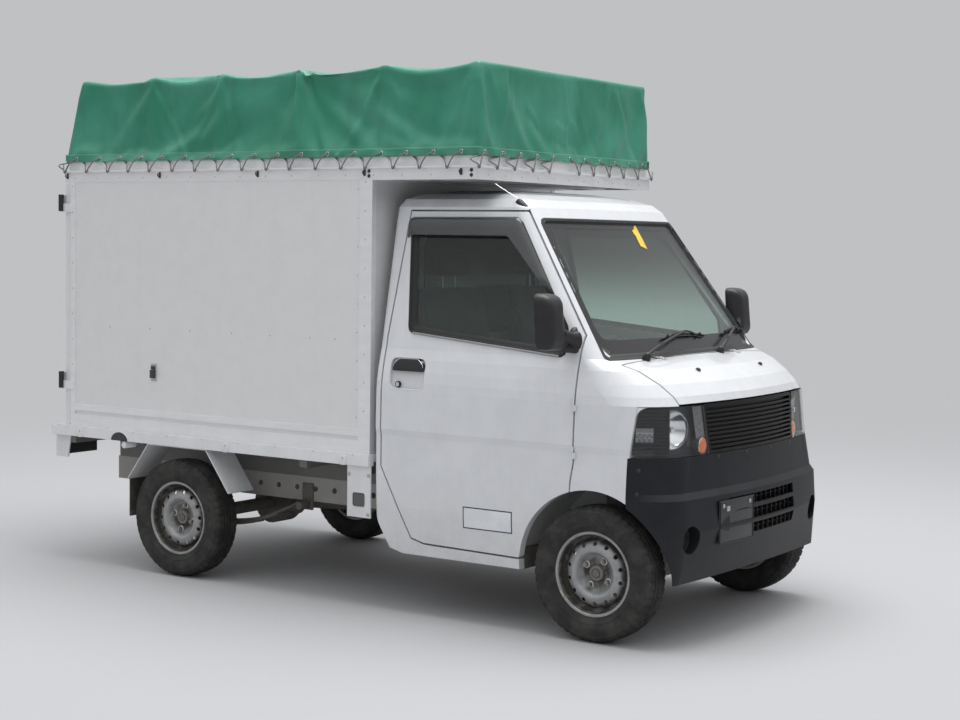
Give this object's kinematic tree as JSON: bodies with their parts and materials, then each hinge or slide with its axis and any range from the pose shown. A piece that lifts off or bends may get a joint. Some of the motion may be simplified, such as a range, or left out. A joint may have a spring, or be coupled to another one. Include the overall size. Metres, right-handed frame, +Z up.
{
  "type": "kei truck with box body",
  "caption": "Small cab-over truck with a sheet-metal box body, overhanging frame and laced canopy, turning wheels, steering and opening doors.",
  "frame": {"origin": "on the ground, below the middle of the truck's overall length and width", "axes": "+X forward, +Y to the truck's left, +Z up"},
  "size_m": [3.395, 1.7352, 2.276],
  "materials": {
    "frame_paint": "off-white chassis paint, dusty",
    "cab_paint": "white gloss body paint",
    "cab_inside_paint": "white paint and grey mat",
    "window_glass": "lightly tinted safety glass",
    "dark_moulding": "dark slate grained bumper plastic",
    "black_moulding": "black grille plastic",
    "lamp_lens": "clear lamp lens",
    "cabin_plastic": "grey grained cabin plastic",
    "seat_cloth": "dark grey seat cloth",
    "wiper_black": "black coated steel and rubber",
    "deck_paint": "white paint on deck rails",
    "box_sheet": "matt aluminium sheet",
    "box_extrusion": "mill finish aluminium extrusion",
    "canopy_sheet": "green coated canopy sheet",
    "red_lens": "red lamp lens",
    "fender_paint": "white painted bent plate",
    "flap_rubber": "black rubber flap",
    "underbody_black": "black chassis paint, dusty",
    "cast_metal": "bare castings, oily",
    "spring_steel": "black spring leaves with light rust",
    "exhaust_steel": "heat stained steel",
    "tank_black": "black painted tank",
    "mirror_black": "black mirror housing",
    "grip_plastic": "dark grained steering wheel",
    "tyre_rubber": "worn road tyre",
    "rim_paint": "silver painted steel rim"
  },
  "bodies": {
    "root": {"chassis_frame": "frame_paint", "cab_shell": "cab_paint", "cab_floor": "cab_inside_paint", "wheel_housings": "cab_inside_paint", "seat_box": "cab_inside_paint", "cab_glass": "window_glass", "front_bumper": "dark_moulding", "grille": "black_moulding", "headlamps": "lamp_lens", "dashboard": "cabin_plastic", "seats": "seat_cloth", "wipers": "wiper_black", "cargo_deck": "deck_paint", "deck_bearers": "frame_paint", "box_panels": "box_sheet", "box_frame": "box_extrusion", "canopy_bows": "box_extrusion", "canopy": "canopy_sheet", "tail_lamps": "red_lens", "rear_fenders": "fender_paint", "mud_flaps": "flap_rubber", "front_suspension": "underbody_black", "radiator": "cast_metal", "engine_and_gearbox": "cast_metal", "rear_axle": "underbody_black", "leaf_springs": "spring_steel", "exhaust": "exhaust_steel", "fuel_tank": "tank_black"},
    "bonnet": {"bonnet": "cab_paint"},
    "door_left": {"door_left": "cab_paint", "door_glass_left": "window_glass", "mirror_left": "mirror_black"},
    "door_right": {"door_right": "cab_paint", "door_glass_right": "window_glass", "mirror_right": "mirror_black"},
    "rear_door_left": {"rear_door_left": "box_sheet"},
    "rear_door_right": {"rear_door_right": "box_sheet"},
    "steering_wheel": {"steering_wheel": "grip_plastic"},
    "knuckle_left": {"knuckle_left": "underbody_black"},
    "knuckle_right": {"knuckle_right": "underbody_black"},
    "tie_rod": {"tie_rod": "underbody_black"},
    "wheel_front_left": {"tyre_front_left": "tyre_rubber", "rim_front_left": "rim_paint"},
    "wheel_front_right": {"tyre_front_right": "tyre_rubber", "rim_front_right": "rim_paint"},
    "wheel_rear_left": {"tyre_rear_left": "tyre_rubber", "rim_rear_left": "rim_paint"},
    "wheel_rear_right": {"tyre_rear_right": "tyre_rubber", "rim_rear_right": "rim_paint"}
  },
  "joints": [
    {"name": "door_left_hinge", "type": "hinge", "parent": "root", "child": "door_left", "pos_m": [1.2195, 0.7385, 0.7], "axis": [0, 0, -1], "range_deg": [0, 65]},
    {"name": "rear_door_left_hinge", "type": "hinge", "parent": "root", "child": "rear_door_left", "pos_m": [-1.6455, 0.724, 1.2], "axis": [0, 0, -1], "range_deg": [0, 270]},
    {"name": "door_right_hinge", "type": "hinge", "parent": "root", "child": "door_right", "pos_m": [1.2195, -0.7385, 0.7], "axis": [0, 0, 1], "range_deg": [0, 65]},
    {"name": "rear_door_right_hinge", "type": "hinge", "parent": "root", "child": "rear_door_right", "pos_m": [-1.6455, -0.724, 1.2], "axis": [0, 0, 1], "range_deg": [0, 270]},
    {"name": "bonnet_hinge", "type": "hinge", "parent": "root", "child": "bonnet", "pos_m": [1.367, 0, 1.098], "axis": [0, -1, 0], "range_deg": [0, 50]},
    {"name": "steer_right", "type": "hinge", "parent": "root", "child": "knuckle_right", "pos_m": [1.2975, -0.56, 0.268], "axis": [0, 0, 1], "range_deg": [-30, 30]},
    {"name": "steer_left", "type": "hinge", "parent": "root", "child": "knuckle_left", "pos_m": [1.2975, 0.56, 0.268], "axis": [0, 0, 1], "range_deg": [-30, 30]},
    {"name": "steering_wheel_turn", "type": "hinge", "parent": "root", "child": "steering_wheel", "pos_m": [1.0075, -0.345, 1.04], "axis": [-0.6691, 0, 0.7431], "range_deg": [-540, 540]},
    {"name": "tie_rod_slide", "type": "slide", "parent": "root", "child": "tie_rod", "axis": [0, 1, 0], "range_m": [-0.062, 0.062]},
    {"name": "wheel_front_left_spin", "type": "hinge", "parent": "knuckle_left", "child": "wheel_front_left", "pos_m": [1.2975, 0.65, 0.268], "axis": [0, 1, 0], "continuous": true},
    {"name": "wheel_front_right_spin", "type": "hinge", "parent": "knuckle_right", "child": "wheel_front_right", "pos_m": [1.2975, -0.65, 0.268], "axis": [0, 1, 0], "continuous": true},
    {"name": "wheel_rear_left_spin", "type": "hinge", "parent": "root", "child": "wheel_rear_left", "pos_m": [-0.9025, 0.65, 0.268], "axis": [0, 1, 0], "continuous": true},
    {"name": "wheel_rear_right_spin", "type": "hinge", "parent": "root", "child": "wheel_rear_right", "pos_m": [-0.9025, -0.65, 0.268], "axis": [0, 1, 0], "continuous": true}
  ],
  "couplings": [
    {"joint": "steer_left", "follows": "steer_right", "ratio": 1},
    {"joint": "steering_wheel_turn", "follows": "steer_right", "ratio": 18},
    {"joint": "tie_rod_slide", "follows": "steer_right", "m_per_rad": -0.115}
  ]
}
